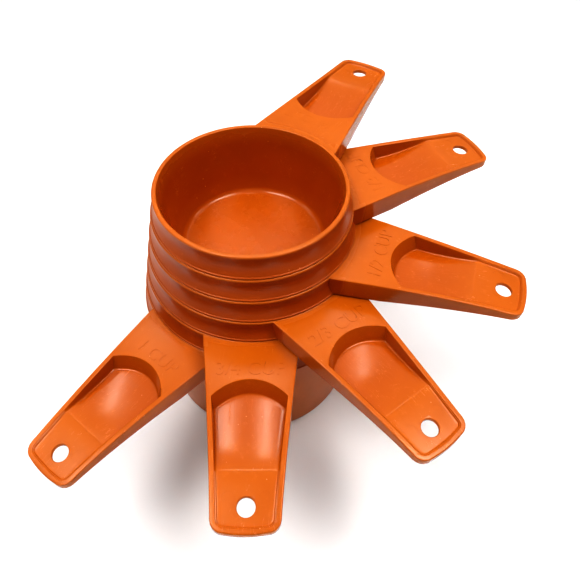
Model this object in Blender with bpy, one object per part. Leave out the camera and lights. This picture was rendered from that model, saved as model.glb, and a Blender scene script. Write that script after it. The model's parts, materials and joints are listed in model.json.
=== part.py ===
"""A nesting set of six moulded measuring cups, stacked and fanned out about one upright axis.

Units are metres. +Z is up, the stack's axis is the Z axis, and the largest cup stands on Z = 0.
Each cup is one moulding: a round bowl, a flared collar that rests on the rim of the next cup
down, and a hollow handle with a thumb scoop and a hanging hole. A cup's own origin lies on the
stack's axis at the height of its rim, with its handle along the cup's own +X.
"""

import math

import bmesh
import bpy

# Name, capacity in cubic metres, and the handle's bearing about the axis in degrees.
CUPS = (
    ("quarter_cup", 59.1e-6, 55.4),
    ("third_cup", 78.9e-6, 18.7),
    ("half_cup", 118.3e-6, -23.1),
    ("two_thirds_cup", 157.7e-6, -57.9),
    ("three_quarters_cup", 177.4e-6, -94.1),
    ("one_cup", 236.6e-6, -133.3),
)

# Bowl and collar.
RIM_RADIUS = 0.0304
RIM_STEP = 0.0018
RIM_SPACING = 0.00785
WALL = 0.0015
FLOOR_RADIUS = 0.0239
FLOOR_STEP = 0.00238
SMALLEST_DEPTH = 0.024
FLOOR_THICKNESS = 0.0018
FLOOR_FILLET = 0.0022
BASE_FILLET = 0.002
SEAT_GAP = 0.0003
COLLAR_FLARE = 0.00145
FLARE_POWER = 1.7
COLLAR_LIP = 0.0005
RADIAL_SEGMENTS = 40

# Handle, measured outwards from the rim along its centre line.
REACH = 0.0544
ROOT_HALF_WIDTH = 0.0149
TIP_HALF_WIDTH = 0.0091
TAPER_POWER = 1.25
TIP_CORNER = 0.0035
ROOT_OVERLAP = 0.008
DROOP = 0.001
DROOP_STEP = 0.0007
DROOP_POWER = 2.5
SKIRT_HEIGHT = 0.0074
SKIRT_TIP_HEIGHT = 0.0025
SKIRT_FULL_LENGTH = 0.012
BORDER = 0.0016
PLATE = 0.0014

# Thumb scoop, pockets under the handle, and the hanging hole.
SCOOP_START = 0.0124
SCOOP_BOW = 0.0047
SCOOP_LEAN = 0.0018
SCOOP_DEPTH = 0.0056
SCOOP_END = 0.0388
TIP_RECESS = 0.001
TIP_POCKET_START = 0.030
POCKET_CLEARANCE = 0.0004
HOLE_RADIUS = 0.0025
HOLE_PLACE = 0.0476
HOLE_SEGMENTS = 20
CUT_HEIGHT = 0.015

ORANGE = (0.83, 0.14, 0.012, 1.0)
ROUGHNESS = 0.32


def clear_scene():
    for obj in list(bpy.data.objects):
        bpy.data.objects.remove(obj, do_unlink=True)


def bowl_depth(capacity, top, bottom):
    """Depth of a tapered bowl that holds the capacity, less what its floor fillet takes away."""
    section = math.pi / 3 * (top * top + top * bottom + bottom * bottom)
    fillet_loss = 2 * math.pi * bottom * FLOOR_FILLET**2 * (1 - math.pi / 4)
    return (capacity + fillet_loss) / section


def cup_sizes(index):
    """Rim radius, floor radius inside and depth inside of one cup, the smallest being cup 0.

    The smallest cup's floor can be seen, so its depth is measured; the others' follow from
    their capacities.
    """
    rim = RIM_RADIUS + index * RIM_STEP
    floor = FLOOR_RADIUS + index * FLOOR_STEP
    if index == 0:
        return rim, floor, SMALLEST_DEPTH
    return rim, floor, bowl_depth(CUPS[index][1], rim - WALL, floor)


def rim_height(index):
    """Height of a cup's rim above the surface that the largest cup stands on."""
    largest = len(CUPS) - 1
    return cup_sizes(largest)[2] + FLOOR_THICKNESS + (largest - index) * RIM_SPACING


def round_corner(radius, height, slope, fillet, steps):
    """Points round the corner between a level floor and a wall that leans out by an angle."""
    turn = math.pi / 2 - slope
    centre_r = radius - fillet * math.tan(turn / 2)
    centre_z = height + fillet
    return [
        (centre_r + fillet * math.sin(turn * i / steps), centre_z - fillet * math.cos(turn * i / steps))
        for i in range(steps + 1)
    ]


def lathe(name, profile):
    """A closed solid turned about Z from a profile that starts and ends on the axis."""
    bm = bmesh.new()
    verts = [bm.verts.new((radius, 0.0, height)) for radius, height in profile]
    edges = [bm.edges.new(pair) for pair in zip(verts, verts[1:])]
    bmesh.ops.spin(
        bm,
        geom=verts + edges,
        axis=(0, 0, 1),
        cent=(0, 0, 0),
        angle=2 * math.pi,
        steps=RADIAL_SEGMENTS,
    )
    bmesh.ops.remove_doubles(bm, verts=bm.verts, dist=1e-6)
    return finish_mesh(name, bm)


def finish_mesh(name, bm):
    """Turn the faces outwards and hand the mesh to a new object."""
    bmesh.ops.recalc_face_normals(bm, faces=bm.faces)
    mesh = bpy.data.meshes.new(name)
    bm.to_mesh(mesh)
    bm.free()
    obj = bpy.data.objects.new(name, mesh)
    bpy.context.scene.collection.objects.link(obj)
    return obj


def cup_outside(name, index):
    """The bowl and its flared collar as one full turned solid."""
    rim, floor, depth = cup_sizes(index)
    slope = math.atan2(rim - WALL - floor, depth)
    seat = SEAT_GAP - RIM_SPACING
    lip = seat + COLLAR_LIP
    flare = [(rim + COLLAR_FLARE * down**FLARE_POWER, lip * down) for down in (0.0, 0.3, 0.55, 0.8, 1.0)]
    collar = flare + [(rim + COLLAR_FLARE, seat), (rim + seat * math.tan(slope), seat)]
    base = round_corner(floor + WALL, -depth - FLOOR_THICKNESS, slope, BASE_FILLET, 3)
    profile = [(0.0, 0.0)] + collar + base[::-1] + [(0.0, -depth - FLOOR_THICKNESS)]
    return lathe(name, profile)


def cup_cavity(name, index):
    """The space inside the bowl, carried on above the rim as a cutter."""
    rim, floor, depth = cup_sizes(index)
    top = rim - WALL
    slope = math.atan2(top - floor, depth)
    corner = round_corner(floor, -depth, slope, FLOOR_FILLET, 4)
    profile = [(0.0, -depth)] + corner + [(top, 0.0), (top, CUT_HEIGHT), (0.0, CUT_HEIGHT)]
    return lathe(name, profile)


def half_width(out, inset=0.0):
    """Half the handle's width at a distance out from the rim, less an inset all round."""
    spread = max(0.0, 1 - out / REACH) ** TAPER_POWER
    side = TIP_HALF_WIDTH + (ROOT_HALF_WIDTH - TIP_HALF_WIDTH) * spread - inset
    corner = TIP_CORNER - inset
    into_corner = min(corner, max(0.0, out - (REACH - inset - corner)))
    return side - corner + math.sqrt(corner * corner - into_corner * into_corner)


def stations(start, inset, steps):
    """Distances out from the rim: even steps, then closer ones round the tip's corners."""
    corner = TIP_CORNER - inset
    bend = REACH - inset - corner
    straight = [start + (bend - start) * i / steps for i in range(steps + 1)]
    return straight + [bend + corner * math.sin(math.radians(angle)) for angle in (30, 60, 90)]


def droop(out, index):
    """How far the handle's top has curved down below the rim."""
    return (DROOP + index * DROOP_STEP) * max(0.0, out / REACH) ** DROOP_POWER


def skirt(out):
    """Height of the handle's side wall."""
    along = max(0.0, out - SKIRT_FULL_LENGTH) / (REACH - SKIRT_FULL_LENGTH)
    return SKIRT_HEIGHT + (SKIRT_TIP_HEIGHT - SKIRT_HEIGHT) * along


def recess_depth(out):
    """Depth of the thumb scoop, and past its end of the shallow recess round the hole."""
    start = SCOOP_START + SCOOP_LEAN
    along = min(1.0, max(0.0, out - start) / (SCOOP_END - start))
    return SCOOP_DEPTH + (TIP_RECESS - SCOOP_DEPTH) * along * along


def scoop_edge(across):
    """Distance out from the rim of the scoop's bowed inner edge."""
    return SCOOP_START + SCOOP_BOW * (across / half_width(SCOOP_START + SCOOP_BOW, BORDER)) ** 2


def plan_grid(rows, columns, inset, place):
    """Plan points of a patch of the handle: row by row outwards, each row across the handle."""
    grid = []
    for row in rows:
        line = []
        for i in range(columns + 1):
            side = 2 * i / columns - 1
            out = place(row, side * half_width(row, inset))
            line.append((out, side * half_width(out, inset)))
        grid.append(line)
    return grid


def slab(name, rim, upper, lower):
    """A closed solid between two grids of (out, across, height) points of the same size."""
    bm = bmesh.new()
    layers = []
    for grid in (upper, lower):
        layers.append([[bm.verts.new((rim + x, y, z)) for x, y, z in line] for line in grid])
    for layer in layers:
        for near, far in zip(layer, layer[1:]):
            for i in range(len(near) - 1):
                bm.faces.new((near[i], near[i + 1], far[i + 1], far[i]))
    top, bottom = layers
    loops = []
    for layer in (top, bottom):
        right = [line[-1] for line in layer[1:-1]]
        left = [line[0] for line in layer[1:-1]]
        loops.append(layer[0] + right + layer[-1][::-1] + left[::-1])
    count = len(loops[0])
    for i in range(count):
        j = (i + 1) % count
        bm.faces.new((loops[0][i], loops[0][j], loops[1][j], loops[1][i]))
    return finish_mesh(name, bm)


def with_height(grid, height):
    """The plan grid with a height, worked out from the distance out, at each of its points."""
    return [[(out, across, height(out)) for out, across in line] for line in grid]


def handle_block(name, index):
    """The handle's outer shape, reaching in past the collar."""
    rows = [-ROOT_OVERLAP, 0.0] + stations(SKIRT_FULL_LENGTH, 0.0, 8)
    grid = plan_grid(rows, 1, 0.0, lambda row, across: row)
    upper = with_height(grid, lambda out: -droop(out, index))
    lower = with_height(grid, lambda out: -droop(out, index) - skirt(out))
    return slab(name, cup_sizes(index)[0], upper, lower)


def scoop_cutter(name, index):
    """The recess in the handle's top: scoop, ramp and the flat round the hole."""

    def place(row, across, lean):
        fade = max(0.0, 1 - (row - SCOOP_START) / (SCOOP_END - SCOOP_START))
        return row + (scoop_edge(across) - SCOOP_START + lean) * fade

    bend = REACH - TIP_CORNER
    steps = 7
    rows = [SCOOP_START + (SCOOP_END - SCOOP_START) * i / steps for i in range(steps + 1)]
    rows += stations(bend, BORDER, 1)[1:]
    upper = plan_grid(rows, 6, BORDER, lambda row, across: place(row, across, 0.0))
    lower = plan_grid(rows, 6, BORDER, lambda row, across: place(row, across, SCOOP_LEAN))
    upper = with_height(upper, lambda out: CUT_HEIGHT)
    lower = with_height(lower, lambda out: -droop(out, index) - recess_depth(out))
    return slab(name, cup_sizes(index)[0], upper, lower)


def root_pocket_cutter(name, index):
    """The hollow under the plate that carries the capacity mark."""
    rim = cup_sizes(index)[0]
    start_radius = rim + COLLAR_FLARE + POCKET_CLEARANCE

    def place(row, across):
        start = math.sqrt(start_radius**2 - across**2) - rim
        end = scoop_edge(across) - WALL
        return start + (end - start) * row / SCOOP_START

    rows = [SCOOP_START * i / 4 for i in range(5)]
    grid = plan_grid(rows, 6, WALL, place)
    upper = with_height(grid, lambda out: -PLATE - droop(out, index))
    lower = with_height(grid, lambda out: -CUT_HEIGHT)
    return slab(name, rim, upper, lower)


def tip_pocket_cutter(name, index):
    """The hollow under the ramp and the flat round the hole."""
    rows = stations(TIP_POCKET_START, WALL, 5)
    grid = plan_grid(rows, 1, WALL, lambda row, across: row)
    upper = with_height(grid, lambda out: -droop(out, index) - recess_depth(out) - PLATE)
    lower = with_height(grid, lambda out: -CUT_HEIGHT)
    return slab(name, cup_sizes(index)[0], upper, lower)


def hole_cutter(name, index):
    """The round hanging hole near the handle's tip."""
    bm = bmesh.new()
    bmesh.ops.create_cone(
        bm,
        cap_ends=True,
        segments=HOLE_SEGMENTS,
        radius1=HOLE_RADIUS,
        radius2=HOLE_RADIUS,
        depth=2 * CUT_HEIGHT,
    )
    bmesh.ops.translate(bm, verts=bm.verts, vec=(cup_sizes(index)[0] + HOLE_PLACE, 0, 0))
    return finish_mesh(name, bm)


def orange_plastic(name):
    """Glossy moulded polypropylene, coloured right through."""
    material = bpy.data.materials.new(name)
    material.use_nodes = True
    shader = material.node_tree.nodes["Principled BSDF"]
    shader.inputs["Base Color"].default_value = ORANGE
    shader.inputs["Roughness"].default_value = ROUGHNESS
    shader.inputs["Metallic"].default_value = 0.0
    return material


def build_cup(index):
    """One cup: its turned bowl, joined to the handle, then hollowed."""
    name, _, bearing = CUPS[index]
    cup = cup_outside(name, index)
    cup.data.materials.append(orange_plastic(name + "_plastic"))
    steps = (
        ("UNION", handle_block(name + "_handle_guide", index)),
        ("DIFFERENCE", cup_cavity(name + "_cavity_cutter", index)),
        ("DIFFERENCE", scoop_cutter(name + "_scoop_cutter", index)),
        ("DIFFERENCE", root_pocket_cutter(name + "_root_pocket_cutter", index)),
        ("DIFFERENCE", tip_pocket_cutter(name + "_tip_pocket_cutter", index)),
        ("DIFFERENCE", hole_cutter(name + "_hole_cutter", index)),
    )
    for operation, tool in steps:
        tool.parent = cup
        tool.hide_render = True
        tool.display_type = "WIRE"
        modifier = cup.modifiers.new(tool.name, "BOOLEAN")
        modifier.operation = operation
        modifier.object = tool
        modifier.solver = "EXACT"
    cup.location = (0.0, 0.0, rim_height(index))
    cup.rotation_euler = (0.0, 0.0, math.radians(bearing))
    cup.data.shade_smooth()
    cup.data.set_sharp_from_angle(angle=math.radians(30))
    return cup


def main():
    clear_scene()
    for index in range(len(CUPS)):
        build_cup(index)


main()
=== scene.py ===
import json
import math

import bmesh
import bpy
import numpy as np
from mathutils import Matrix, Vector, noise


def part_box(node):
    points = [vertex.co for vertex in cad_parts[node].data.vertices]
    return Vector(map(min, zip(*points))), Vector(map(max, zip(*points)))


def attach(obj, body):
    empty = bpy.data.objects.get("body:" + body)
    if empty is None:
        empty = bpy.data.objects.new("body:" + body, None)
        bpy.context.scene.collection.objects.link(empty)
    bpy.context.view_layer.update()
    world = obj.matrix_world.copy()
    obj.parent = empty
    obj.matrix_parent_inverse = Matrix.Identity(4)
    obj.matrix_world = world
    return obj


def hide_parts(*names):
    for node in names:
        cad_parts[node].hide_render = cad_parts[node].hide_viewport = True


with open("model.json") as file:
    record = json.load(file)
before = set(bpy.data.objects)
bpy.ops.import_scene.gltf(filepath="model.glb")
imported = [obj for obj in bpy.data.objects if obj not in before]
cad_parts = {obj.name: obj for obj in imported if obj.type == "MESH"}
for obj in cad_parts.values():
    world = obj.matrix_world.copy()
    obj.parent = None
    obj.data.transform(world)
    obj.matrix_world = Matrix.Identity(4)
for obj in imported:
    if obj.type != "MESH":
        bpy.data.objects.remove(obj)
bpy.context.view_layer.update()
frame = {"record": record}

# Each cup: CAD node, capacity mark, and the handle's bearing about the stack's axis in degrees.
CUPS = (
    ("quarter_cup", "1/4 CUP", 55.4),
    ("third_cup", "1/3 CUP", 18.7),
    ("half_cup", "1/2 CUP", -23.1),
    ("two_thirds_cup", "2/3 CUP", -57.9),
    ("three_quarters_cup", "3/4 CUP", -94.1),
    ("one_cup", "1 CUP", -133.3),
)
MM = 0.001

# Bowl and collar, in millimetres, as in the CAD. A cup is modelled with its rim at height 0.
RIM_RADIUS, RIM_STEP, RIM_SPACING = 30.4, 1.8, 7.85
FLOOR_RADIUS, FLOOR_STEP, FLOOR_THICKNESS = 23.9, 2.38, 1.8
WALL, FLOOR_FILLET, BASE_FILLET, SEAT_GAP, SEAT_ROUND = 1.5, 2.2, 2.0, 0.12, 0.5
COLLAR_FLARE, COVE_POWER, COVE_DIP, COVE_SET_BACK = 1.45, 3.4, 0.25, 0.03
LEDGE, LEDGE_ANGLE, LEDGE_LIFT = 0.42, 76, 0.1
RIM_ROUND, RIM_INNER_ROUND, LIP_ROUND = 0.5, 0.3, 0.2
GATE_RADIUS, GATE_BEVEL, GATE_DEPTH, GATE_CROWN = 1.9, 0.2, 0.3, 0.05
RADIAL_SEGMENTS, COVE_STEPS = 240, 15
FILLET_STEPS, ROUND_STEPS, SMALL_ROUND_STEPS, SEAT_STEPS = 10, 6, 4, 3
MERGE_DISTANCE = 1e-4

# Nicks along the rim and the collar's lip: the noise's scale, its shift for each cup, the level that
# it has to pass, how deep it then cuts, and how far under the rim and inside the wall it reaches.
NICK_SCALE, NICK_SHIFT, NICK_LEVEL, RIM_NICK, LIP_NICK = 17, 5.3, 0.22, 0.1, 0.18
NICK_UNDER_RIM, NICK_INSIDE_WALL = 0.05, 0.1

# Handle: places are in millimetres outwards from the rim, and angles in degrees.
REACH, ROOT_HALF_WIDTH, TIP_HALF_WIDTH, TAPER_POWER, TIP_CORNER = 54.4, 14.9, 9.1, 1.25, 3.5
TIP_CORNER_ANGLES, TIP_BOW, TIP_BOW_START = (18, 36, 54, 72, 90), 0.45, 40
DROOP, DROOP_STEP, DROOP_POWER = 1.0, 0.7, 2.5
SKIRT_HEIGHT, SKIRT_TIP_HEIGHT, SKIRT_FULL_LENGTH = 7.4, 2.5, 12.0
BORDER, PLATE, PLATE_STEP = 1.6, 1.4, 0.15
EDGE_ROUND, SKIRT_ROUND = 0.4, 0.25
EDGE_ANGLES, ROUND_ANGLES = (0, 22.5, 45, 67.5, 90), (0, 30, 60, 90)
ROOT_START, ROOT_END, ROOT_ROWS, HANDLE_ROWS, HANDLE_COLUMNS = -4.0, 6.0, 5, 14, 12

# Thumb scoop, ramp and flat end, and the two hollows under them.
SCOOP_START, SCOOP_BOW, SCOOP_LEAN, SCOOP_DEPTH, SCOOP_END = 12.4, 4.7, 1.8, 5.6, 38.8
TIP_RECESS, RECESS_ROUND, RECESS_FILLET, WALL_DRAFT, WALL_LEAN = 1.0, 0.3, 0.5, 0.2, 0.9
RECESS_ANGLES, RECESS_ABOVE = (20, 43, 67, 90), 0.6
RECESS_ROWS, RECESS_TIP_ROWS, RECESS_COLUMNS = 26, 4, 20
POCKET_CLEARANCE, POCKET_FILLET, POCKET_ROWS, POCKET_COLUMNS = 0.4, 0.5, 6, 10
ROOT_POCKET_FLARE, ROOT_POCKET_FOOT = 0.15, -12.0
TIP_POCKET_START, TIP_POCKET_FIRST_ROW, TIP_POCKET_FLARE, TIP_POCKET_FOOT = 30.0, 3.0, 0.1, -14.0

# Hanging hole, ejector marks and capacity marks. The hole's profile is (wider by, height): first over
# the recess's floor, then over the underside of the plate. The capacity mark's height is cup by cup.
HOLE_RADIUS, HOLE_PLACE, DISC_SEGMENTS = 2.5, 47.6, 40
HOLE_TOP = ((0.75, 0.35), (0.18, -0.03), (0.05, -0.16), (0.0, -0.3))
HOLE_FOOT = ((0.0, 0.25), (0.06, 0.12), (0.2, 0.02), (0.7, -0.4))
EJECTOR_RADIUS, EJECTOR_DEPTH, EJECTOR_PLACE, EJECTOR_ACROSS, EJECTOR_ABOVE = 1.6, 0.06, 45.3, 4.9, 0.4
MARK_SIZE, MARK_PLACE, MARK_SINK, MARK_CURVE_STEPS = 6.1, 8.9, 0.25, 6
MARK_HEIGHTS = (0.04, 0.06, 0.12, 0.15, 0.15, 0.14)

# Finish by place: polish and painted shade, each 0 to 1, and the depths at which a scoop's come in. The
# painted shade darkens and reddens the colour inside the bowl, down the collar under the rim and deep in the
# scoops.
OUTSIDE_POLISH, HANDLE_POLISH, SCOOP_POLISH = 0.15, 0.5, 1.0
BOWL_WALL_POLISH_AND_PAINTED_SHADE, BOWL_FILLET_POLISH_AND_PAINTED_SHADE, BOWL_FLOOR_POLISH_AND_PAINTED_SHADE = (0.6, 0.8), (1.0, 0.4), (0.3, 0.25)
SCOOP_PAINTED_SHADE, SCOOP_DEPTHS, SCOOP_LOW_PAINTED_SHADE, SCOOP_LOW_DEPTHS = 0.15, (1.3, 2.1), 0.2, (2.5, 5.0)
COLLAR_PAINTED_SHADE_FADE, HANDLE_MARGIN, LIP_MARGIN, INSIDE_MARGIN, FLOOR_MARGIN = 0.5, 0.3, 0.1, 0.5, 0.05
SHARP_ANGLE = 32

# Plastic: a pair of shades each, roughness, and relief in millimetres. The pale orange is the plastic's
# own colour; the darker orange is painted shade, laid on by the depth attribute. The outer walls' roughness
# stays above 0.275, because the denoiser leaves patches where it crosses that level. Scratches are
# sets of (angle in degrees, patch scale).
PALE_ORANGE = (0.40, 0.104, 0.004, 1), (0.44, 0.119, 0.006, 1)
PAINTED_SHADE_ORANGE = (0.31, 0.055, 0.002, 1), (0.35, 0.065, 0.003, 1)
SCUFF_COLOUR, SCRATCH_COLOUR = (0.80, 0.27, 0.08, 1), (0.85, 0.34, 0.12, 1)
SPECK_COLOUR = (0.85, 0.38, 0.18, 1)
ROUGH, POLISHED, SCUFF_ROUGHNESS, SCRATCH_ROUGHNESS = 0.31, 0.10, 0.04, 0.12
SCRATCHES = ((24, 0.11), (-38, 0.13), (81, 0.09))
SCRATCH_STRETCH, SCRATCH_WIDTH, SCRATCH_DEPTH = (0.05, 0.55, 0.55), 0.006, 0.012
WAVES_ROUGH, WAVES_POLISHED, GRAIN_HEIGHT, SPECK_HEIGHT = 0.06, 0.03, 0.0035, 0.008
RING_HEIGHT, RING_RATE, RING_FADE = 0.004, 5.2, (22.0, 26.0)
PLASTIC_IOR, PLASTIC_SPECULAR = 1.49, 0.42

# Studio, in metres. Places in the sky are (azimuth from the back to the right, elevation).
STAGE_RADIUS, STAGE_SEGMENTS, STAGE_HEIGHT = 5.0, 96, -0.0002
STAGE_COLOURS = (0.76, 0.76, 0.765, 1), (0.78, 0.78, 0.785, 1)
CAMERA_PLACE = (-0.00049, -0.12572, 0.20402)
CAMERA_YAW, CAMERA_PITCH, CAMERA_ROLL = 6.006, -51.928, 1.595
SENSOR_WIDTH, LENS, CLIP_START, CLIP_END = 36.0, 32.8084, 0.01, 20
SKY_LIGHT, SKY_SEEN = 0.12, 1.0
LIT = Vector((0.0, -0.05, 0.065))
LAMP_COLOUR = (1, 0.98, 0.96)
# The scoops in which the narrow lamps' reflections are wanted.
SCOOP_HALF, SCOOP_TWO_THIRDS = (0.054, -0.018, 0.078), (0.030, -0.047, 0.067)
SCOOP_THREE_QUARTERS, SCOOP_ONE = (-0.003, -0.062, 0.061), (-0.045, -0.045, 0.052)
# Each panel: name, azimuth, elevation, distance, size, radiance, colour.
PANELS = (
    ("ceiling", 0, 90, 2.2, (9.0, 9.0), 0.28, (1.0, 1.0, 1.0)),
    ("back_panel", 0, 56, 1.3, (1.7, 1.0), 0.35, (0.97, 0.98, 1.0)),
    ("side_panel_left", -72, 42, 0.8, (0.16, 0.16), 3.0, (1.0, 0.99, 0.98)),
    ("side_panel_right", 72, 42, 0.8, (0.16, 0.16), 3.0, (1.0, 0.99, 0.98)),
)
# Each strip: name, place it is aimed at, start and end in the sky, distance, width, radiance.
STRIPS = (
    ("key_left", LIT, (-100, 78), (-100, 54), 0.8, 0.28, 8.4),
    ("key_right", LIT, (100, 78), (100, 54), 0.8, 0.28, 8.4),
    ("lamp_centre", SCOOP_THREE_QUARTERS, (2.4, 66), (2.9, 46), 0.32, 0.007, 11.0),
    ("lamp_near_left", SCOOP_THREE_QUARTERS, (-9.5, 62), (-5.7, 47), 0.45, 0.012, 9.5),
    ("lamp_right", SCOOP_TWO_THIRDS, (21.5, 57), (8.0, 51.4), 0.45, 0.010, 8.5),
    ("lamp_left", SCOOP_ONE, (-24.5, 55.4), (-8.5, 51.9), 0.45, 0.010, 9.5),
    ("lamp_far_right", SCOOP_HALF, (17.0, 44.8), (12.5, 46.5), 0.45, 0.010, 3.0),
)


# ---- Shape ---------------------------------------------------------------------------------


def rim_radius(index):
    return RIM_RADIUS + index * RIM_STEP


def floor_radius(index):
    return FLOOR_RADIUS + index * FLOOR_STEP


def half_width(out, inset=0.0):
    """Half the handle's width at a distance out from the rim, less an inset all round."""
    spread = max(0.0, 1 - out / REACH) ** TAPER_POWER
    side = TIP_HALF_WIDTH + (ROOT_HALF_WIDTH - TIP_HALF_WIDTH) * spread - inset
    corner = TIP_CORNER - inset
    into_corner = min(corner, max(0.0, out - (REACH - inset - corner)))
    return side - corner + math.sqrt(corner * corner - into_corner * into_corner)


def stations(start, inset, steps):
    """Distances out from the rim: even steps, then closer ones round the tip's corners."""
    corner = TIP_CORNER - inset
    bend = REACH - inset - corner
    straight = [start + (bend - start) * i / steps for i in range(steps + 1)]
    return straight + [bend + corner * math.sin(math.radians(a)) for a in TIP_CORNER_ANGLES]


def droop(out, index):
    """How far the handle hangs down at a distance out from the rim."""
    return (DROOP + index * DROOP_STEP) * max(0.0, out / REACH) ** DROOP_POWER


def skirt(out):
    """The skirt's height at a distance out from the rim."""
    along = max(0.0, out - SKIRT_FULL_LENGTH) / (REACH - SKIRT_FULL_LENGTH)
    return SKIRT_HEIGHT + (SKIRT_TIP_HEIGHT - SKIRT_HEIGHT) * along


def recess_depth(out):
    """Depth of the thumb scoop and its ramp, and of the shallow flat past their end."""
    start = SCOOP_START + SCOOP_LEAN
    along = min(1.0, max(0.0, out - start) / (SCOOP_END - start))
    return SCOOP_DEPTH + (TIP_RECESS - SCOOP_DEPTH) * along * along


def scoop_edge(across):
    """Where the scoop's curved end wall starts, at a distance from the handle's middle."""
    return SCOOP_START + SCOOP_BOW * (across / half_width(SCOOP_START + SCOOP_BOW, BORDER)) ** 2


def bowed(out, side):
    """The tip's slight outward bow: its corners sit back a little from its middle."""
    return out - TIP_BOW * side * side * max(0.0, (out - TIP_BOW_START) / (REACH - TIP_BOW_START)) ** 2


def sides(columns):
    """Even places across the handle, from -1 at one edge to 1 at the other."""
    return [2 * i / columns - 1 for i in range(columns + 1)]


def rounding(radius, degrees):
    """How far an edge's rounding still has to go sideways, and how far it has come down."""
    a = math.radians(degrees)
    return radius * (1 - math.sin(a)), radius * (1 - math.cos(a))


def arc(centre, radius, start, end, steps):
    """Points of an arc in a profile, its angles in degrees anticlockwise from outwards."""
    turn = [math.radians(start + (end - start) * i / steps) for i in range(steps + 1)]
    return [(centre[0] + radius * math.cos(a), centre[1] + radius * math.sin(a)) for a in turn]


def between(start, end, shares):
    """Points of a profile on the straight line from one place to another."""
    return [tuple(a + (b - a) * share for a, b in zip(start, end)) for share in shares]


def solid(faces, points):
    """A closed mesh with its faces outwards, in millimetres."""
    bm = bmesh.new()
    verts = [bm.verts.new(p) for p in points]
    for face in faces:
        bm.faces.new([verts[i] for i in face])
    bmesh.ops.remove_doubles(bm, verts=bm.verts, dist=MERGE_DISTANCE)
    bmesh.ops.recalc_face_normals(bm, faces=bm.faces)
    return bm


def lathe(profile, segments=RADIAL_SEGMENTS):
    """A closed solid turned about Z from a profile that starts and ends on the axis."""
    ring = profile[1:-1]
    points = [(0, 0, profile[0][1]), (0, 0, profile[-1][1])]
    for r, z in ring:
        for s in range(segments):
            a = 2 * math.pi * s / segments
            points.append((r * math.cos(a), r * math.sin(a), z))
    faces = []
    last = 2 + (len(ring) - 1) * segments
    for s in range(segments):
        n = (s + 1) % segments
        faces.append((0, 2 + s, 2 + n))
        faces.append((1, last + n, last + s))
        for k in range(len(ring) - 1):
            a, b = 2 + k * segments, 2 + (k + 1) * segments
            faces.append((a + s, b + s, b + n, a + n))
    return solid(faces, points)


def loft(loops):
    """A closed solid through closed loops of points, with flat ends."""
    count = len(loops[0])
    points = [p for loop in loops for p in loop]
    faces = [tuple(range(count)), tuple(range(len(points) - count, len(points)))]
    for k in range(len(loops) - 1):
        for i in range(count):
            j = (i + 1) % count
            faces.append((k * count + i, k * count + j, (k + 1) * count + j, (k + 1) * count + i))
    return solid(faces, points)


def stack(rim, layers):
    """A closed solid through grids of (out, across, height) points: the first and last are
    filled in, and the outlines of those between make its sides."""
    rows, columns = len(layers[0]), len(layers[0][0])
    outline = [(0, j) for j in range(columns)] + [(i, columns - 1) for i in range(1, rows)]
    outline += [(rows - 1, j) for j in range(columns - 2, -1, -1)]
    outline += [(i, 0) for i in range(rows - 2, 0, -1)]
    points, faces, index = [], [], {}
    for k, layer in enumerate(layers):
        full = k in (0, len(layers) - 1)
        for i in range(rows):
            for j in range(columns):
                if full or i in (0, rows - 1) or j in (0, columns - 1):
                    index[k, i, j] = len(points)
                    out, across, height = layer[i][j]
                    points.append((rim + out, across, height))
        if full:
            for i in range(rows - 1):
                for j in range(columns - 1):
                    corners = ((i, j), (i, j + 1), (i + 1, j + 1), (i + 1, j))
                    faces.append([index[(k,) + c] for c in corners])
    for k in range(len(layers) - 1):
        for a, b in zip(outline, outline[1:] + outline[:1]):
            faces.append((index[(k,) + a], index[(k,) + b], index[(k + 1,) + b], index[(k + 1,) + a]))
    return solid(faces, points)


def inside_profile(rim, floor, depth, lean, corner):
    """The bowl's inside from the middle of its floor up, then over the rounded rim."""
    wall_top, centre = rim - WALL, (floor - FLOOR_FILLET * corner, -depth + FLOOR_FILLET)
    profile = between((0, -depth), (floor, -depth), (0, 0.3, 0.6, 0.8))
    profile += arc(centre, FLOOR_FILLET, -90, -lean, FILLET_STEPS)
    profile += between(profile[-1], (wall_top, 0), (0.25, 0.5, 0.75))
    inner_centre = (wall_top + RIM_INNER_ROUND, -RIM_INNER_ROUND)
    profile += arc(inner_centre, RIM_INNER_ROUND, 180, 90, SMALL_ROUND_STEPS)
    return profile + arc((rim - RIM_ROUND, -RIM_ROUND), RIM_ROUND, 90, 0, ROUND_STEPS)


def collar_profile(rim, seat):
    """The collar from under the rim: a cove, the ledge at its foot and the rounded lip."""
    edge = rim + COLLAR_FLARE
    ledge = arc((edge - LEDGE, seat + LIP_ROUND + LEDGE_LIFT), LEDGE, LEDGE_ANGLE, 0, ROUND_STEPS)
    cove, fall = ledge[0][0] - COVE_SET_BACK - rim, -ledge[0][1]
    profile = []
    for i in range(1, COVE_STEPS + 1):
        down = (RIM_ROUND + (fall - RIM_ROUND) * i / COVE_STEPS) / fall
        dip = COVE_DIP * math.sin(math.pi * down) ** 2
        profile.append((rim + cove * down**COVE_POWER - dip, -fall * down))
    return profile + ledge + arc((edge - LIP_ROUND, seat + LIP_ROUND), LIP_ROUND, 0, -90, SMALL_ROUND_STEPS)


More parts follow.
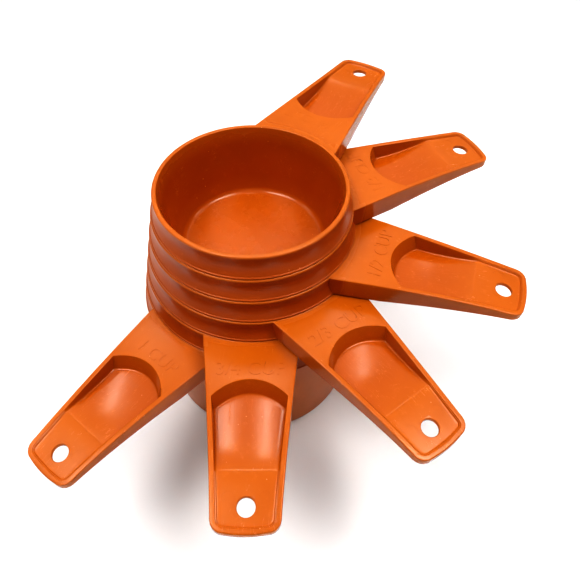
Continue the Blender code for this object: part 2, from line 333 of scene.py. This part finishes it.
def outside_profile(rim, floor, depth, lean, corner, seat):
    """The bowl's outside from the seat under the collar down to the gate mark under its base."""
    wall = rim + seat * math.tan(math.radians(lean))
    outer_floor, base = floor + WALL, -depth - FLOOR_THICKNESS
    seat_arc = arc((wall + SEAT_ROUND, seat - SEAT_ROUND), SEAT_ROUND, 90, 180, SEAT_STEPS)
    centre = (outer_floor - BASE_FILLET * corner, base + BASE_FILLET)
    base_arc = arc(centre, BASE_FILLET, -lean, -90, ROUND_STEPS)
    profile = seat_arc + between(seat_arc[-1], base_arc[0], (0.33, 0.66)) + base_arc
    profile += [(outer_floor * 0.7, base), (outer_floor * 0.3, base), (GATE_RADIUS, base)]
    gate_top = base + GATE_DEPTH
    return profile + [(GATE_RADIUS - GATE_BEVEL, gate_top), (0, gate_top + GATE_CROWN)]


def bowl(index, depth):
    """The bowl and its flared collar as one turned shell."""
    rim, floor, seat = rim_radius(index), floor_radius(index), SEAT_GAP - RIM_SPACING
    lean = math.degrees(math.atan2(rim - WALL - floor, depth))
    corner = math.tan(math.radians((90 - lean) / 2))
    profile = inside_profile(rim, floor, depth, lean, corner) + collar_profile(rim, seat)
    profile += outside_profile(rim, floor, depth, lean, corner, seat)
    return nicked(lathe(profile), index)


def nicked(bm, index):
    """Small dents along the rim and the collar's lip, as an old moulding has."""
    rim = rim_radius(index)
    for v in bm.verts:
        radius = math.hypot(v.co.x, v.co.y)
        if radius < rim - WALL - NICK_INSIDE_WALL:
            continue
        place = Vector((v.co.x, v.co.y, 0)) / radius
        dent = max(0.0, noise.noise(place * NICK_SCALE + Vector((0, 0, NICK_SHIFT * index))) - NICK_LEVEL)
        if v.co.z > -NICK_UNDER_RIM:
            v.co.z -= RIM_NICK * dent
        elif radius > rim + COLLAR_FLARE - LEDGE and v.co.z < -RIM_SPACING / 2:
            v.co.x -= place.x * LIP_NICK * dent
            v.co.y -= place.y * LIP_NICK * dent
    return bm


def handle_grid(index, inset, height):
    """The handle's plan, from an arc inside the bowl's wall out to the tip."""
    rim = rim_radius(index)
    anchor = rim - WALL / 2
    grid = []
    for i in range(ROOT_ROWS):
        share = i / ROOT_ROWS
        line = []
        for side in sides(HANDLE_COLUMNS):
            across = side * half_width(ROOT_START + (ROOT_END - ROOT_START) * share, inset)
            start = math.sqrt(anchor * anchor - across * across) - rim
            out = start + (ROOT_END - start) * share
            line.append((out, across, height(out)))
        grid.append(line)
    for row in stations(ROOT_END, inset, HANDLE_ROWS):
        line = []
        for side in sides(HANDLE_COLUMNS):
            out = bowed(row, side)
            line.append((out, side * half_width(row, inset), height(out)))
        grid.append(line)
    return grid


def handle_block(index):
    """The handle's outer shape, with rounded edges along its top and round its foot."""
    def level(inset, height):
        return handle_grid(index, inset, lambda out: height(out) - droop(out, index))

    layers = []
    for degrees in EDGE_ANGLES:
        inset, down = rounding(EDGE_ROUND, degrees)
        layers.append(level(inset, lambda out: -PLATE_STEP - down))
    for degrees in ROUND_ANGLES:
        up, inset = rounding(SKIRT_ROUND, degrees)
        layers.append(level(inset, lambda out: up - skirt(out)))
    return stack(rim_radius(index), layers)


def recess_grid(index, inset, lean, drop):
    """A level of the recess: its outline inset from the handle's, its inner edge leaning out."""
    grid = []
    shift, length = inset - BORDER + SCOOP_LEAN * lean, SCOOP_END - SCOOP_START
    rows = [SCOOP_START + length * i / RECESS_ROWS for i in range(RECESS_ROWS + 1)]
    for row in rows + stations(SCOOP_END, inset, RECESS_TIP_ROWS)[1:]:
        fade = max(0.0, 1 - (row - SCOOP_START) / length)
        line = []
        for side in sides(RECESS_COLUMNS):
            across = side * half_width(row, inset)
            out = row + (scoop_edge(across) - SCOOP_START + shift) * fade
            across = side * half_width(max(out, row), inset)
            out = bowed(out, side)
            line.append((out, across, -droop(out, index) - drop(out)))
        grid.append(line)
    return grid


def recess(index):
    """What is hollowed out of the handle's top: scoop, ramp and the flat round the hole."""
    edge = PLATE_STEP + RECESS_ROUND

    def round_level(degrees, above=0.0):
        """A level of the rounded edge, or one a length above it along its slope there."""
        a = math.radians(degrees)
        inset = BORDER - RECESS_ROUND + RECESS_ROUND * math.sin(a) - above * math.cos(a)
        drop = edge - RECESS_ROUND * math.cos(a) - above * math.sin(a)
        return recess_grid(index, inset, 0, lambda out: drop)

    def wall_level(share):
        def drop(out):
            return edge + share * (recess_depth(out) - edge - RECESS_FILLET)

        return recess_grid(index, BORDER + WALL_DRAFT * share, WALL_LEAN * share, drop)

    def fillet_level(degrees):
        up, inset = rounding(RECESS_FILLET, degrees)
        lean = WALL_LEAN + (1 - WALL_LEAN) * degrees / 90
        return recess_grid(index, BORDER + WALL_DRAFT + inset, lean, lambda out: recess_depth(out) - up)

    layers = [round_level(RECESS_ANGLES[0], RECESS_ABOVE)]
    layers += [round_level(degrees) for degrees in RECESS_ANGLES]
    layers += [wall_level(share) for share in (0.5, 1.0)]
    layers += [fillet_level(degrees) for degrees in ROUND_ANGLES[1:]]
    return stack(rim_radius(index), layers)


def pocket(index, level, ceiling, flare, foot):
    """A hollow under the handle: a rounded edge round its ceiling, then down past the skirt."""
    layers = []
    for degrees in ROUND_ANGLES:
        inset, down = rounding(POCKET_FILLET, degrees)
        layers.append(level(inset, lambda out: ceiling(out) - down - droop(out, index)))
    layers.append(level(-flare, lambda out: foot))
    return stack(rim_radius(index), layers)


def root_pocket(index):
    """The hollow under the plate that carries the capacity mark."""
    rim = rim_radius(index)
    start_radius = rim + COLLAR_FLARE + POCKET_CLEARANCE

    def level(extra, height):
        grid = []
        for i in range(POCKET_ROWS + 1):
            share = i / POCKET_ROWS
            line = []
            for side in sides(POCKET_COLUMNS):
                across = side * half_width(SCOOP_START * share, WALL + extra)
                start = math.sqrt(start_radius**2 - across**2) - rim + extra
                end = scoop_edge(across) - WALL - extra
                out = start + (end - start) * share
                line.append((out, across, height(out)))
            grid.append(line)
        return grid

    return pocket(index, level, lambda out: -PLATE, ROOT_POCKET_FLARE, ROOT_POCKET_FOOT)


def tip_pocket(index):
    """The hollow under the ramp and the flat round the hole."""
    def level(extra, height):
        inset = WALL + extra
        rows = [TIP_POCKET_START + extra]
        rows += stations(TIP_POCKET_START + TIP_POCKET_FIRST_ROW, inset, POCKET_ROWS)
        return [
            [(bowed(row, side), side * half_width(row, inset), height(row)) for side in sides(POCKET_COLUMNS)]
            for row in rows
        ]

    def ceiling(out):
        return -recess_depth(out) - PLATE

    return pocket(index, level, ceiling, TIP_POCKET_FLARE, TIP_POCKET_FOOT)


def disc_cut(index, out, across, levels):
    """A round cutter that follows the recess's floor, through (radius, height over the floor)."""
    rim = rim_radius(index)
    loops = []
    for radius, height in levels:
        loop = []
        for s in range(DISC_SEGMENTS):
            a = 2 * math.pi * s / DISC_SEGMENTS
            x, y = out + radius * math.cos(a), across + radius * math.sin(a)
            loop.append((rim + x, y, height - droop(x, index) - recess_depth(x)))
        loops.append(loop)
    return loft(loops)


def hole(index):
    levels = [(HOLE_RADIUS + wider, height) for wider, height in HOLE_TOP]
    levels += [(HOLE_RADIUS + wider, height - PLATE) for wider, height in HOLE_FOOT]
    return disc_cut(index, HOLE_PLACE, 0, levels)


def ejector_marks(index):
    levels = ((EJECTOR_RADIUS, EJECTOR_ABOVE), (EJECTOR_RADIUS, -EJECTOR_DEPTH))
    places = (-EJECTOR_ACROSS, EJECTOR_ACROSS)
    return [disc_cut(index, EJECTOR_PLACE, across, levels) for across in places]


def temporary(name, bm):
    """An object in the scene from a mesh that is then freed."""
    mesh = bpy.data.meshes.new(name)
    bm.to_mesh(mesh)
    bm.free()
    obj = bpy.data.objects.new(name, mesh)
    bpy.context.scene.collection.objects.link(obj)
    return obj


def combined(target, tool, operation):
    """Joins the tool to the target, or cuts the target by it, and removes the tool."""
    modifier = target.modifiers.new("cut", "BOOLEAN")
    modifier.operation, modifier.object, modifier.solver = operation, tool, "MANIFOLD"
    graph = bpy.context.evaluated_depsgraph_get()
    mesh = bpy.data.meshes.new_from_object(target.evaluated_get(graph))
    target.modifiers.remove(modifier)
    old, spent = target.data, tool.data
    target.data = mesh
    bpy.data.objects.remove(tool, do_unlink=True)
    bpy.data.meshes.remove(old)
    bpy.data.meshes.remove(spent)


def capacity_mark(index, words):
    """The raised capacity mark, its top towards the bowl, as closed letters sunk in the plate."""
    curve = bpy.data.curves.new("mark", "FONT")
    curve.body = words
    curve.size = MARK_SIZE
    curve.align_x, curve.align_y = "CENTER", "CENTER"
    curve.extrude = MARK_SINK
    curve.resolution_u = MARK_CURVE_STEPS
    obj = bpy.data.objects.new("mark", curve)
    bpy.context.scene.collection.objects.link(obj)
    graph = bpy.context.evaluated_depsgraph_get()
    mesh = bpy.data.meshes.new_from_object(obj.evaluated_get(graph))
    bpy.data.objects.remove(obj, do_unlink=True)
    bm = bmesh.new()
    bm.from_mesh(mesh)
    bpy.data.meshes.remove(mesh)
    bmesh.ops.remove_doubles(bm, verts=bm.verts, dist=MERGE_DISTANCE)
    for v in bm.verts:
        out = MARK_PLACE - v.co.y
        above = MARK_HEIGHTS[index] if v.co.z > 0 else -MARK_SINK
        v.co = (rim_radius(index) + out, v.co.x, above - PLATE_STEP - droop(out, index))
    bmesh.ops.recalc_face_normals(bm, faces=bm.faces)
    return bm


def ramp(value, start, end):
    """0 before the start, 1 past the end, and a straight rise between them."""
    return min(1.0, max(0.0, (value - start) / (end - start)))


def polish_and_painted_shade_at(index, depth, x, y, z):
    """How polished the mould was at a place, and how much painted shade darkens its colour there, each 0 to
    1.
    """
    rim, floor, radius = rim_radius(index), floor_radius(index), math.hypot(x, y)
    if x - rim >= HANDLE_MARGIN and radius >= rim + COLLAR_FLARE + LIP_MARGIN:
        below = -z - droop(x - rim, index)
        scoop, low = ramp(below, *SCOOP_DEPTHS), ramp(below, *SCOOP_LOW_DEPTHS)
        polish = HANDLE_POLISH + (SCOOP_POLISH - HANDLE_POLISH) * scoop
        # Painted shade: the colour is darker deep in the scoop and down the lower half of its end wall.
        return polish, SCOOP_PAINTED_SHADE * scoop + SCOOP_LOW_PAINTED_SHADE * low
    if z >= -RIM_ROUND:
        return OUTSIDE_POLISH, 0.0
    inside = floor + (rim - WALL - floor) * (1 + z / depth)
    if radius > inside + INSIDE_MARGIN:
        # Painted shade on the collar: darkest just under the rim, fading towards the lip.
        return OUTSIDE_POLISH, max(0.0, 1 - COLLAR_PAINTED_SHADE_FADE * (z / RIM_SPACING) ** 2)
    # Painted shade inside the bowl: darkest on the wall, less on the fillet and the floor.
    if z > -depth + FLOOR_FILLET:
        return BOWL_WALL_POLISH_AND_PAINTED_SHADE
    return BOWL_FILLET_POLISH_AND_PAINTED_SHADE if z > -depth + FLOOR_MARGIN else BOWL_FLOOR_POLISH_AND_PAINTED_SHADE


def mark_places(mesh, index, depth):
    """Keeps each point's place, polish and painted shade in the mesh, for the plastic to read."""
    place = np.zeros(len(mesh.vertices) * 3, np.float32)
    mesh.vertices.foreach_get("co", place)
    mesh.attributes.new("local", "FLOAT_VECTOR", "POINT").data.foreach_set("vector", place)
    polish_and_shade = [polish_and_painted_shade_at(index, depth, *p) for p in place.reshape(-1, 3).tolist()]
    # The "depth" attribute holds the painted shade, 0 to 1, not a depth.
    for name, values in zip(("polish", "depth"), zip(*polish_and_shade)):
        mesh.attributes.new(name, "FLOAT", "POINT").data.foreach_set("value", values)


def cup(index):
    """One cup as a single moulding that stands for its CAD node."""
    node, words, bearing = CUPS[index]
    low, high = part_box(node)
    depth = (high.z - low.z) / MM - FLOOR_THICKNESS
    handle = temporary(node + "_handle", handle_block(index))
    cutters = [recess(index), *ejector_marks(index), root_pocket(index), tip_pocket(index), hole(index)]
    for cutter in cutters:
        combined(handle, temporary("cutter", cutter), "DIFFERENCE")
    combined(handle, temporary("mark", capacity_mark(index, words)), "UNION")
    piece = temporary(node + "_moulding", bowl(index, depth))
    combined(piece, handle, "UNION")
    mesh = piece.data
    mark_places(mesh, index, depth)
    turn = Matrix.Rotation(math.radians(bearing), 4, "Z")
    mesh.transform(Matrix.Translation((0, 0, high.z)) @ turn @ Matrix.Scale(MM, 4))
    mesh.shade_smooth()
    mesh.set_sharp_from_angle(angle=math.radians(SHARP_ANGLE))
    piece.modifiers.new("even shading", "WEIGHTED_NORMAL").keep_sharp = True
    mesh.materials.clear()
    mesh.materials.append(PLASTIC)
    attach(piece, BODY_OF[node])
    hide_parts(node)


# ---- Finish --------------------------------------------------------------------------------


class Nodes:
    """Short calls for building a material's nodes."""

    def __init__(self, name):
        self.material = bpy.data.materials.new(name)
        self.material.use_nodes = True
        self.tree = self.material.node_tree
        self.shader = self.tree.nodes["Principled BSDF"]

    def add(self, kind, values=None, **settings):
        node = self.tree.nodes.new("ShaderNode" + kind)
        for key, value in settings.items():
            setattr(node, key, value)
        for socket, value in (values or {}).items():
            if isinstance(value, bpy.types.NodeSocket):
                self.tree.links.new(value, node.inputs[socket])
            else:
                node.inputs[socket].default_value = value
        return node

    def attribute(self, name, output="Fac"):
        return self.add("Attribute", attribute_name=name, attribute_type="GEOMETRY").outputs[output]

    def math(self, operation, a, b=0.0):
        return self.add("Math", {0: a, 1: b}, operation=operation).outputs[0]

    def plus(self, a, b):
        return self.math("ADD", a, b)

    def times(self, a, b):
        return self.math("MULTIPLY", a, b)

    def noise(self, vector, scale, detail=3.0, roughness=0.5):
        values = {"Vector": vector, "Scale": scale, "Detail": detail, "Roughness": roughness}
        return self.add("TexNoise", values).outputs["Fac"]

    def span(self, value, low, high, to_low=0.0, to_high=1.0):
        """A smooth step from one value to another as the input goes from low to high."""
        values = {"Value": value, "From Min": low, "From Max": high}
        values.update({"To Min": to_low, "To Max": to_high})
        return self.add("MapRange", values, clamp=True, interpolation_type="SMOOTHSTEP").outputs["Result"]

    def mix(self, factor, a, b):
        return self.add("Mix", {0: factor, 6: a, 7: b}, data_type="RGBA").outputs[2]

    def link(self, output, socket):
        self.tree.links.new(output, self.shader.inputs[socket])


def scratch_lines(n, local, polish):
    """Scratches: the thin level lines of stretched noise, kept only in patches, off the outer walls."""
    scratches = None
    for angle, patch in SCRATCHES:
        turned = {"Vector": local, "Rotation": (0, 0, math.radians(angle)), "Scale": SCRATCH_STRETCH}
        lines = n.noise(n.add("Mapping", turned).outputs["Vector"], scale=1.0, detail=2.0)
        off_line = n.math("ABSOLUTE", n.math("SUBTRACT", lines, 0.5))
        thin = n.span(off_line, 0.0, SCRATCH_WIDTH, to_low=1.0, to_high=0.0)
        kept = n.span(n.noise(local, patch, detail=2.0), 0.58, 0.70)
        one = n.times(thin, kept)
        scratches = one if scratches is None else n.math("MAXIMUM", scratches, one)
    return n.times(scratches, n.span(polish, OUTSIDE_POLISH, 0.45))


def speck_dots(n, local):
    """Small raised specks, at some of the cells' centres."""
    cells = n.add("TexVoronoi", {"Vector": local, "Scale": 0.42}, feature="F1")
    dot = n.span(cells.outputs["Distance"], 0.05, 0.09, to_low=1.0, to_high=0.0)
    chance = n.add("SeparateColor", {"Color": cells.outputs["Color"]}).outputs[0]
    return n.times(dot, n.math("GREATER_THAN", chance, 0.86))


def turned_rings(n, local):
    """Faint rings on the bowls' floors, in patches, from the turning of the mould."""
    parts = n.add("SeparateXYZ", {"Vector": local}).outputs
    squares = [n.times(parts[axis], parts[axis]) for axis in ("X", "Y")]
    radius = n.math("SQRT", n.plus(*squares))
    wave = n.math("SINE", n.times(radius, RING_RATE))
    inside = n.times(n.span(radius, *RING_FADE, to_low=1.0, to_high=0.0), n.noise(local, 0.09, detail=2.0))
    return n.times(wave, inside)


def orange_plastic():
    n = Nodes("orange_plastic_moulded")
    local, polish, painted_shade = n.attribute("local", "Vector"), n.attribute("polish"), n.attribute("depth")
    scratches, specks = scratch_lines(n, local, polish), speck_dots(n, local)
    scuffs = n.span(n.noise(local, 0.32, detail=6.0, roughness=0.7), 0.56, 0.74)

    tone = n.span(n.noise(local, 0.035), 0.3, 0.7)
    # Painted shade: the colour goes to the darker, redder orange where the depth attribute is high.
    colour = n.mix(painted_shade, n.mix(tone, *PALE_ORANGE), n.mix(tone, *PAINTED_SHADE_ORANGE))
    colour = n.mix(n.times(scuffs, 0.12), colour, SCUFF_COLOUR)
    colour = n.mix(n.times(scratches, 0.25), colour, SCRATCH_COLOUR)
    colour = n.mix(n.times(specks, 0.5), colour, SPECK_COLOUR)
    n.link(colour, "Base Color")

    uneven = n.span(n.noise(local, 0.12, detail=4.0, roughness=0.6), 0.3, 0.7, to_low=-0.003, to_high=0.02)
    rough = n.plus(uneven, n.span(polish, 0.0, 1.0, to_low=ROUGH, to_high=POLISHED))
    rough = n.plus(rough, n.times(scuffs, SCUFF_ROUGHNESS))
    n.link(n.plus(rough, n.times(scratches, SCRATCH_ROUGHNESS)), "Roughness")

    # Relief in millimetres: slow waves from the moulding, a fine grain, turned rings, scratches.
    wave_height = n.span(polish, 0.0, 1.0, to_low=WAVES_ROUGH, to_high=WAVES_POLISHED)
    waves = n.times(n.noise(local, 0.07, detail=1.0), wave_height)
    height = n.plus(waves, n.times(n.noise(local, 1.6, roughness=0.6), GRAIN_HEIGHT))
    height = n.plus(height, n.times(turned_rings(n, local), RING_HEIGHT))
    height = n.math("SUBTRACT", height, n.times(scratches, SCRATCH_DEPTH))
    height = n.plus(height, n.times(specks, SPECK_HEIGHT))
    bump = n.add("Bump", {"Height": height, "Distance": MM, "Strength": 1.0})
    n.link(bump.outputs["Normal"], "Normal")
    n.shader.inputs["IOR"].default_value = PLASTIC_IOR
    n.shader.inputs["Specular IOR Level"].default_value = PLASTIC_SPECULAR
    return n.material


def floor_finish():
    n = Nodes("pale_floor")
    place = n.add("TexCoord").outputs["Object"]
    shade = n.span(n.noise(place, 14.0, detail=4.0), 0.3, 0.7)
    n.link(n.mix(shade, *STAGE_COLOURS), "Base Color")
    n.link(n.span(n.noise(place, 60.0), 0.3, 0.7, to_low=0.5, to_high=0.6), "Roughness")
    return n.material


# ---- Studio --------------------------------------------------------------------------------


def stage_floor():
    bm = bmesh.new()
    bmesh.ops.create_circle(bm, cap_ends=True, segments=STAGE_SEGMENTS, radius=STAGE_RADIUS)
    for v in bm.verts:
        v.co.z = STAGE_HEIGHT
    floor = temporary("studio_floor", bm)
    floor.data.materials.append(floor_finish())


def direction(azimuth, elevation):
    """A unit vector, its azimuth in radians from the back towards the right."""
    level = math.cos(elevation)
    return Vector((math.sin(azimuth) * level, math.cos(azimuth) * level, math.sin(elevation)))


def sky_place(seen_from, azimuth, elevation, distance):
    """A place in the sky: azimuth from the back towards the right, in degrees."""
    return Vector(seen_from) + distance * direction(math.radians(azimuth), math.radians(elevation))


def area_light(name, place, target, size, radiance, colour, along=None):
    """A lamp of a size and radiance that faces its target, its long side along a given line."""
    data = bpy.data.lights.new(name, "AREA")
    data.shape = "RECTANGLE"
    data.size, data.size_y = size
    data.energy, data.color = radiance * math.pi * size[0] * size[1], colour
    away = (place - target).normalized()
    side = (along or Vector((0, 1, 1))).cross(away).normalized()
    turn = Matrix((side, away.cross(side), away)).transposed().to_4x4()
    lamp = bpy.data.objects.new(name, data)
    lamp.matrix_world = Matrix.Translation(place) @ turn
    bpy.context.scene.collection.objects.link(lamp)


def strip_light(name, seen_from, start, end, distance, width, radiance):
    """A long lamp between two places in the sky."""
    a, b = sky_place(seen_from, *start, distance), sky_place(seen_from, *end, distance)
    size = (width, (b - a).length)
    area_light(name, (a + b) / 2, Vector(seen_from), size, radiance, LAMP_COLOUR, b - a)


def sky():
    """An even white sky that is bright to the camera and gives only a little light."""
    world = bpy.data.worlds.new("studio")
    world.use_nodes = True
    tree = world.node_tree
    path = tree.nodes.new("ShaderNodeLightPath")
    level = tree.nodes.new("ShaderNodeMapRange")
    level.inputs["To Min"].default_value = SKY_LIGHT
    level.inputs["To Max"].default_value = SKY_SEEN
    background = tree.nodes["Background"]
    background.inputs["Color"].default_value = (1, 1, 1, 1)
    tree.links.new(path.outputs["Is Camera Ray"], level.inputs["Value"])
    tree.links.new(level.outputs["Result"], background.inputs["Strength"])
    bpy.context.scene.world = world


def lighting():
    for name, azimuth, elevation, distance, size, radiance, colour in PANELS:
        area_light(name, sky_place(LIT, azimuth, elevation, distance), LIT, size, radiance, colour)
    for strip in STRIPS:
        strip_light(*strip)
    sky()


def camera():
    """The photographer's view: from in front and above, looking down at the stack."""
    yaw, pitch, roll = (math.radians(a) for a in (CAMERA_YAW, CAMERA_PITCH, CAMERA_ROLL))
    ahead = direction(yaw, pitch)
    level = Vector((math.cos(yaw), -math.sin(yaw), 0))
    over = level.cross(ahead)
    right = level * math.cos(roll) + over * math.sin(roll)
    up = over * math.cos(roll) - level * math.sin(roll)
    turn = Matrix((right, up, -ahead)).transposed().to_4x4()
    data = bpy.data.cameras.new("camera")
    data.sensor_width, data.lens = SENSOR_WIDTH, LENS
    data.clip_start, data.clip_end = CLIP_START, CLIP_END
    view = bpy.data.objects.new("camera", data)
    view.matrix_world = Matrix.Translation(CAMERA_PLACE) @ turn
    bpy.context.scene.collection.objects.link(view)
    bpy.context.scene.camera = view


# ---- Scene ---------------------------------------------------------------------------------

BODIES = frame["record"]["behaviour"]["bodies"]
BODY_OF = {node: body for body, nodes in BODIES.items() for node in nodes}
PLASTIC = orange_plastic()
bpy.context.scene.view_settings.view_transform = "Standard"
bpy.context.scene.view_settings.look = "Very High Contrast"

for number in range(len(CUPS)):
    cup(number)
stage_floor()
lighting()
camera()
